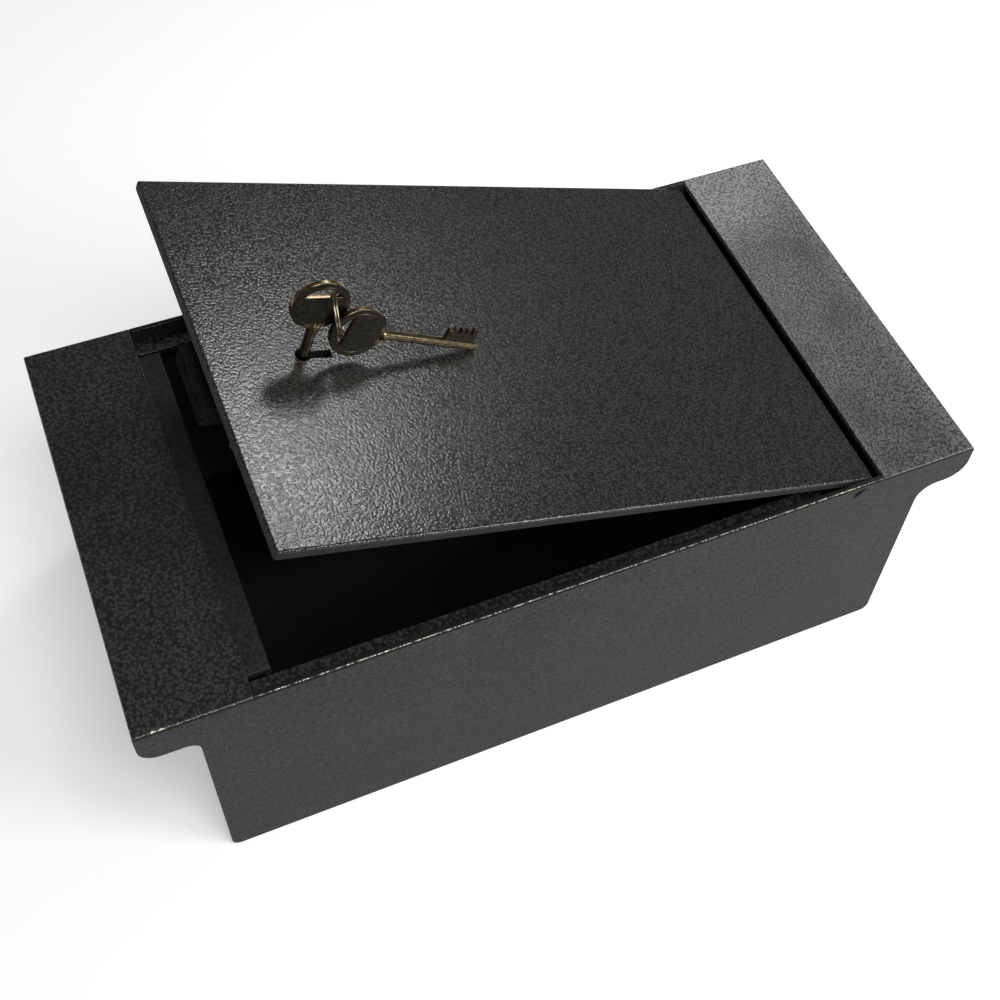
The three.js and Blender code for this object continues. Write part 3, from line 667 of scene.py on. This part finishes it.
def key_bow(shape):
    arc = []
    for turn in (0, pi / 8, pi / 4, 3 * pi / 8, pi / 2):
        arc.append((bow_radius - bow_edge * (1 - sin(turn)), bow_half - bow_edge * (1 - cos(turn))))
    upper = [
        (bow_line_radius - bow_line_half, bow_half),
        (bow_line_radius, bow_half - bow_line_depth),
        (bow_line_radius + bow_line_half, bow_half),
        *arc,
    ]
    lower = [(radius, -height) for radius, height in reversed(upper)]
    profile_ring(shape, upper + lower, 96)
    walls = []
    for height in (bow_half, -bow_half):
        outline = segment_outline(shape, height)
        border = [edge for edge in shape.edges if edge.is_boundary and lies_at(edge, height)]
        rim = [edge for edge in border if edge not in outline]
        bmesh.ops.triangle_fill(shape, edges=outline + rim, use_beauty=True)
        walls += outline
    bmesh.ops.bridge_loops(shape, edges=walls)
    bmesh.ops.recalc_face_normals(shape, faces=shape.faces)
    round_edges(shape, [edge for edge in walls if edge.is_valid], hole_edge, 2)


# %% [markdown]
# The shank is a turned rod with a rounded collar where the bow begins, and a small nose at the tip.
# Spinning a profile is just what a lathe does. The bit is a plate filed into steps, one for the bolt, one
# for each of six levers and one for the curtain, so its outline is extruded and its edges are broken.

# %% Shank and bit
bit_bottom = 3.2 * mm
bit_top = 18.4 * mm
first_step = 6.05 * mm
step_pitch = 1.6 * mm
bolt_step = 9 * mm
lever_steps = [reach * mm for reach in (5.9, 8.4, 6.1, 8.6, 5.8, 8.1)]
curtain_step = 7.2 * mm


def key_shank(shape):
    under_bow = key_reach - bow_radius
    collar_low = under_bow - collar_height / 2
    collar_high = under_bow + collar_height / 2
    nose = [(0, 0), (shank_radius * 0.7, 0), (shank_radius * 0.93, 0.15 * mm), (shank_radius, 0.5 * mm)]
    neck = [(shank_radius, collar_low - 0.3 * mm), (shank_radius * 0.94, collar_low)]
    collar = [
        (collar_radius * 0.93, collar_low), (collar_radius, collar_low + 0.3 * mm),
        (collar_radius, collar_high - 0.3 * mm), (collar_radius * 0.93, collar_high),
    ]
    root = [
        (shank_radius * 0.9, collar_high + 0.1 * mm), (bow_half * 0.98, collar_high + 2 * mm),
        (0, collar_high + 2.2 * mm),
    ]
    profile_ring(shape, nose + neck + collar + root, 32)


def key_bit(shape):
    levels = [bit_bottom, *(first_step + step_pitch * index for index in range(7)), bit_top]
    reaches = [bolt_step, *lever_steps, curtain_step]
    corners = [(shank_radius / 2, bit_bottom)]
    for index, reach in enumerate(reaches):
        corners += [(reach, levels[index]), (reach, levels[index + 1])]
    corners.append((shank_radius / 2, bit_top))
    verts = [shape.verts.new((across, -bit_half, up)) for across, up in corners]
    moved, _ = extrude(shape, [shape.faces.new(verts)])
    bmesh.ops.translate(shape, verts=moved, vec=(0, 2 * bit_half, 0))
    edges = list({edge for vert in moved + verts for edge in vert.link_edges})
    bmesh.ops.recalc_face_normals(shape, faces=list({face for edge in edges for face in edge.link_faces}))
    round_edges(shape, edges, bit_edge, 1)


def key_shape(placing):
    """A whole key that stands on its tip, bit towards X, and is then put in its place."""
    shape = bmesh.new()
    key_bow(shape)
    upright = Matrix.Translation((0, 0, key_reach)) @ Matrix.Rotation(pi / 2, 4, "X")
    bmesh.ops.transform(shape, matrix=upright, verts=shape.verts)
    key_shank(shape)
    key_bit(shape)
    bmesh.ops.remove_doubles(shape, verts=shape.verts, dist=join_distance)
    bmesh.ops.recalc_face_normals(shape, faces=shape.faces)
    shape.normal_update()
    for face in shape.faces:
        middle = face.calc_center_median()
        on_bit = middle.x > shank_radius and middle.z < bit_top
        on_bow = middle.z > key_reach - bow_radius + collar_height
        # The flat faces of the bit and bow take the second finish: tarnish and painted shade.
        face.material_index = int(abs(face.normal.y) > 0.7 and (on_bit or on_bow))
    bmesh.ops.transform(shape, matrix=placing, verts=shape.verts)
    return shape


def key_piece(name, placing, node):
    made = piece(name, key_shape(placing), node, key_metal, node)
    made.data.materials.append(tarnish_and_shade_faces.material)


# %% [markdown]
# One key stands in the lock. The other lies on the lid: its tip all but touches the paint, and its bow
# hangs from the ring, so it is tipped by the height of its bow over its own length, with a little yaw and
# roll as it fell.

# %% Two keys
key_bow_height = 28.7 * mm
key_foot = key_axis + Vector((0, 0, safe_top + key_bow_height - key_reach))
key_piece("key_in_lock", lid_turn @ Matrix.Translation(key_foot), "key")

spare_bow_height = 16.1 * mm
spare_tip_gap = 0.5 * mm
spare_bow = key_axis + Vector((18.4 * mm, -3.5 * mm, safe_top + spare_bow_height))
spare_lean = asin((spare_bow_height - spare_tip_gap - shank_radius) / key_reach)
spare_yaw = radians(1.3)
spare_roll = radians(4)
lying = Matrix(((0, 0, -1, 0), (0, 1, 0, 0), (1, 0, 0, 0), (0, 0, 0, 1)))
spare_turn = Matrix.Rotation(spare_yaw, 4, "Z") @ Matrix.Rotation(spare_lean, 4, "Y")
spare_turn = spare_turn @ Matrix.Rotation(-spare_roll, 4, "X")
spare_foot = lying @ Matrix.Translation((0, 0, -key_reach))
key_piece("key_on_lid", lid_turn @ Matrix.Translation(spare_bow) @ spare_turn @ spare_foot, "spare_key")

# %% [markdown]
# A split ring is wire wound nearly twice, with each end lying against the next turn. A torus would be one
# closed ring, so a small section is spun with a drift along the axis, which is what the winding machine
# does.

# %% Split ring
ring_turns = 1.9
ring_pitch = 1 * mm
ring_wire = 0.45 * mm
ring_steps = 150
ring_lean = radians(16)
ring_in_key = key_axis + Vector((4.6 * mm, 0, safe_top + key_bow_height + 6.2 * mm))
ring_in_spare = spare_bow + spare_turn @ (Vector((-7.3, 0, -1.2)) * mm)


def split_ring():
    across = ring_in_spare - ring_in_key
    radius = across.length / 2
    right = across.normalized()
    normal = right.cross(Vector((0, 1, 0))).normalized()
    up = normal.cross(right)
    turned = Matrix((right, up, normal)).transposed().to_4x4() @ Matrix.Rotation(ring_lean, 4, "X")
    shape = bmesh.new()
    start = Matrix.Translation((0, radius, -ring_pitch * ring_turns / 2)) @ Matrix.Rotation(pi / 2, 4, "Y")
    round_section(shape, ring_wire, 12, start)
    drift = (0, 0, ring_pitch * ring_turns / ring_steps)
    winding = {"dvec": drift, "angle": 2 * pi * ring_turns, "steps": ring_steps}
    geom = shape.verts[:] + shape.edges[:] + shape.faces[:]
    bmesh.ops.spin(shape, geom=geom, cent=(0, 0, 0), axis=(0, 0, 1), **winding)
    bmesh.ops.recalc_face_normals(shape, faces=shape.faces)
    placing = lid_turn @ Matrix.Translation((ring_in_key + ring_in_spare) / 2) @ turned
    bmesh.ops.transform(shape, matrix=placing, verts=shape.verts)
    return shape


piece("wound_ring", split_ring(), "key_ring", ring_metal, "key_ring")

# %% [markdown]
# The box is held together by weld. Outside it is ground flush and painted over; inside, the beads are
# left as they cooled, a row of small ripples. A bead is drawn like one: a round section moves along the
# seam in short steps and swells and shrinks on the way. One helper serves straight runs and rings.

# %% Weld beads
ripple_length = 1.3 * mm
ripple_swell = 0.16
bead_end = 0.4
ring_bead_steps = 24


def straight_bead(shape, start, end, radius):
    """A run of weld from one place to another, tapered at both ends."""
    start = Vector(start)
    run = Vector(end) - start
    steps = max(6, round(run.length / ripple_length) * 2)
    turned = Matrix.Translation(start) @ run.to_track_quat("Z", "Y").to_matrix().to_4x4()
    first = round_section(shape, radius * bead_end, 10, turned)
    faces = [first[0].link_faces[0]]
    size = bead_end
    for step in range(1, steps + 1):
        verts, faces = extrude(shape, faces)
        bmesh.ops.translate(shape, verts=verts, vec=run / steps)
        wanted = bead_end if step == steps else 1 + ripple_swell * (step % 2)
        centre = Matrix.Translation(-(start + run * (step / steps)))
        bmesh.ops.scale(shape, verts=verts, vec=(wanted / size,) * 3, space=centre)
        size = wanted


def ring_bead(shape, centre, axis, ring_radius, radius):
    """A bead that runs right round a pin or stud."""
    upright = Vector(axis).to_track_quat("Z", "Y").to_matrix().to_4x4()
    section = Matrix.Translation((ring_radius, 0, 0)) @ Matrix.Rotation(pi / 2, 4, "X")
    loop = round_section(shape, radius, 8, section, filled=False)
    edges = list({edge for vert in loop for edge in vert.link_edges})
    before = set(shape.verts) - set(loop)
    whole_turn = {"angle": 2 * pi, "steps": ring_bead_steps, "use_merge": True}
    bmesh.ops.spin(shape, geom=loop + edges, cent=(0, 0, 0), axis=(0, 0, 1), **whole_turn)
    fresh = [vert for vert in shape.verts if vert not in before]
    bmesh.ops.transform(shape, matrix=Matrix.Translation(centre) @ upright, verts=fresh)


def bead_piece(name, body, finish, draw):
    shape = bmesh.new()
    draw(shape)
    bmesh.ops.remove_doubles(shape, verts=shape.verts, dist=join_distance)
    bmesh.ops.recalc_face_normals(shape, faces=shape.faces)
    return piece(name, shape, body, finish, crisp=60)


# %% Where the beads are
stitch_middles = (-110 * mm, 0, 110 * mm)
stitch_half = 17 * mm
corner_low = 30 * mm
corner_high = 78 * mm
seam_radius = 1.8 * mm
pin_bead = (3.3 * mm, 1.1 * mm)
stud_across = (-24.9 * mm, 34.1 * mm)
stud_sides = (-16.5 * mm, 30.5 * mm)
stud_bead = (4.2 * mm, 0.8 * mm)
stud_bead_height = lid_under - 0.4 * mm
strap_side = 95.3 * mm
strap_half = 7.2 * mm
strap_run = 2.8 * mm
strap_bead = 1.2 * mm
strap_bead_height = lid_under - 0.6 * mm


def floor_seams(shape):
    for side in (-box_inside_y, box_inside_y):
        for middle in stitch_middles:
            start = (middle - stitch_half, side, box_floor)
            end = (middle + stitch_half, side, box_floor)
            straight_bead(shape, start, end, seam_radius)


def corner_seams(shape):
    for across in (-box_inside_x, box_inside_x):
        for side in (-box_inside_y, box_inside_y):
            straight_bead(shape, (across, side, corner_low), (across, side, corner_high), seam_radius)


def pin_seams(shape):
    for side in (-1, 1):
        ring_bead(shape, (hinge_pivot.x, side * box_inside_y, hinge_pivot.z), (0, side, 0), *pin_bead)


def stud_seams(shape):
    for across in stud_across:
        for side in stud_sides:
            centre = (key_axis.x + across, key_axis.y + side, stud_bead_height)
            ring_bead(shape, centre, (0, 0, 1), *stud_bead)
    bmesh.ops.transform(shape, matrix=lid_turn, verts=shape.verts)


def strap_seams(shape):
    for side in (-strap_side, strap_side):
        for across in (hinge_pivot.x - strap_half, hinge_pivot.x + strap_half):
            start = (across, side - strap_run, strap_bead_height)
            end = (across, side + strap_run, strap_bead_height)
            straight_bead(shape, start, end, strap_bead)
    bmesh.ops.transform(shape, matrix=lid_turn, verts=shape.verts)


bead_piece("floor_seam_welds", "safe_body", inner_shade_paint, floor_seams)
bead_piece("corner_seam_welds", "safe_body", inner_shade_paint, corner_seams)
bead_piece("pin_welds", "safe_body", weld_paint, pin_seams)
bead_piece("stud_welds", "lid", weld_paint, stud_seams)
bead_piece("strap_welds", "lid", weld_paint, strap_seams)

# %% [markdown]
# On the outside one weld shows: the plug weld behind which the hinge pin sits was ground nearly flush,
# and only a crescent of its rim still stands under the paint, on the long sides near the hinge. A thin
# section spun through part of a turn makes it, and its ends are drawn in so that it fades into the plate.
# It is painted near black, a painted shade that makes the raised rim read as a shadowed groove.

# %% Crescents of the plug welds
plug_middle = Vector((140.5, 126.6)) * mm
plug_radius = 5.1 * mm
crescent_start = radians(80)
crescent_sweep = radians(112)
crescent_steps = 28
crescent_half = 0.9 * mm
crescent_tip = 0.15
box_outside_y = 106 * mm


def plug_crescent(shape, side):
    first = Matrix.Translation((plug_radius, 0, 0)) @ Matrix.Rotation(pi / 2, 4, "X")
    faces = [round_section(shape, crescent_half * crescent_tip, 8, first)[0].link_faces[0]]
    size = crescent_tip
    for step in range(1, crescent_steps + 1):
        verts, faces = extrude(shape, faces)
        turn = Matrix.Rotation(crescent_sweep / crescent_steps, 3, "Z")
        bmesh.ops.rotate(shape, verts=verts, cent=(0, 0, 0), matrix=turn)
        wanted = max(crescent_tip, sin(pi * step / crescent_steps))
        centre = sum((vert.co for vert in verts), Vector()) / len(verts)
        bmesh.ops.scale(shape, verts=verts, vec=(wanted / size,) * 3, space=Matrix.Translation(-centre))
        size = wanted
    upright = Matrix.Rotation(pi / 2, 4, "X") @ Matrix.Rotation(crescent_start, 4, "Z")
    place = Matrix.Translation((plug_middle.x, side * box_outside_y, plug_middle.y))
    bmesh.ops.transform(shape, matrix=place @ upright, verts=shape.verts)


# Near-black paint on the crescents: painted shade.
bead_piece("front_plug_weld", "safe_body", inner_shade_paint, lambda shape: plug_crescent(shape, -1))
bead_piece("back_plug_weld", "safe_body", inner_shade_paint, lambda shape: plug_crescent(shape, 1))

# %% [markdown]
# The bolt's end has two tapped holes. Their threads could be bump, but the holes are seen from outside,
# so each gets a real thread: a small section spun with one pitch of drift per turn, inside the CAD's
# plain bore.

# %% Threads in the bolt's end
thread_radius = 2.5 * mm
thread_half = 0.3 * mm
thread_pitch = 1 * mm
thread_turns = 8
thread_steps = 24
bolt_end = -148.8 * mm
bolt_middle_height = 112.85 * mm
bolt_middle_side = 1.8 * mm
tap_spacing = 15.6 * mm
thread_start = bolt_end + 0.4 * mm


def bolt_threads():
    shape = bmesh.new()
    drift = (0, 0, thread_pitch / thread_steps)
    winding = {"dvec": drift, "angle": 2 * pi * thread_turns, "steps": thread_steps * thread_turns}
    for side in (-tap_spacing / 2, tap_spacing / 2):
        before = set(shape.verts)
        section = Matrix.Translation((thread_radius, 0, 0)) @ Matrix.Rotation(pi / 2, 4, "X")
        made = round_section(shape, thread_half, 6, section)
        face = made[0].link_faces[0]
        geom = made + face.edges[:] + [face]
        bmesh.ops.spin(shape, geom=geom, cent=(0, 0, 0), axis=(0, 0, 1), **winding)
        place = Matrix.Translation((thread_start, bolt_middle_side + side, bolt_middle_height))
        fresh = [vert for vert in shape.verts if vert not in before]
        bmesh.ops.transform(shape, matrix=lid_turn @ place @ Matrix.Rotation(pi / 2, 4, "Y"), verts=fresh)
    bmesh.ops.recalc_face_normals(shape, faces=shape.faces)
    return shape


piece("bolt_threads", bolt_threads(), "bolt", bolt_shade_coat)

# %% [markdown]
# The safe stands on a plain pale floor. A flat plane is enough; a faint grain in its colour keeps it from
# looking cut out. The lamps are weak, because black paint shows every strong one, so a little glow keeps
# the paper white.

# %% Floor
floor_half = 3.0
floor_glow = 0.38
floor_shape = bmesh.new()
bmesh.ops.create_grid(floor_shape, x_segments=1, y_segments=1, size=floor_half)
floor_mesh = bpy.data.meshes.new("floor")
floor_shape.to_mesh(floor_mesh)
floor_shape.free()
floor = bpy.data.objects.new("floor", floor_mesh)
bpy.context.scene.collection.objects.link(floor)
paper = Finish("pale_paper", None)
paper_grain = paper.grain(3 * mm, 3)
paper.set(Base_Color=paper.blend(grey(0.86), grey(0.9), paper_grain), Roughness=0.9)
paper.set(Emission_Color=grey(1), Emission_Strength=floor_glow)
floor_mesh.materials.append(paper.material)
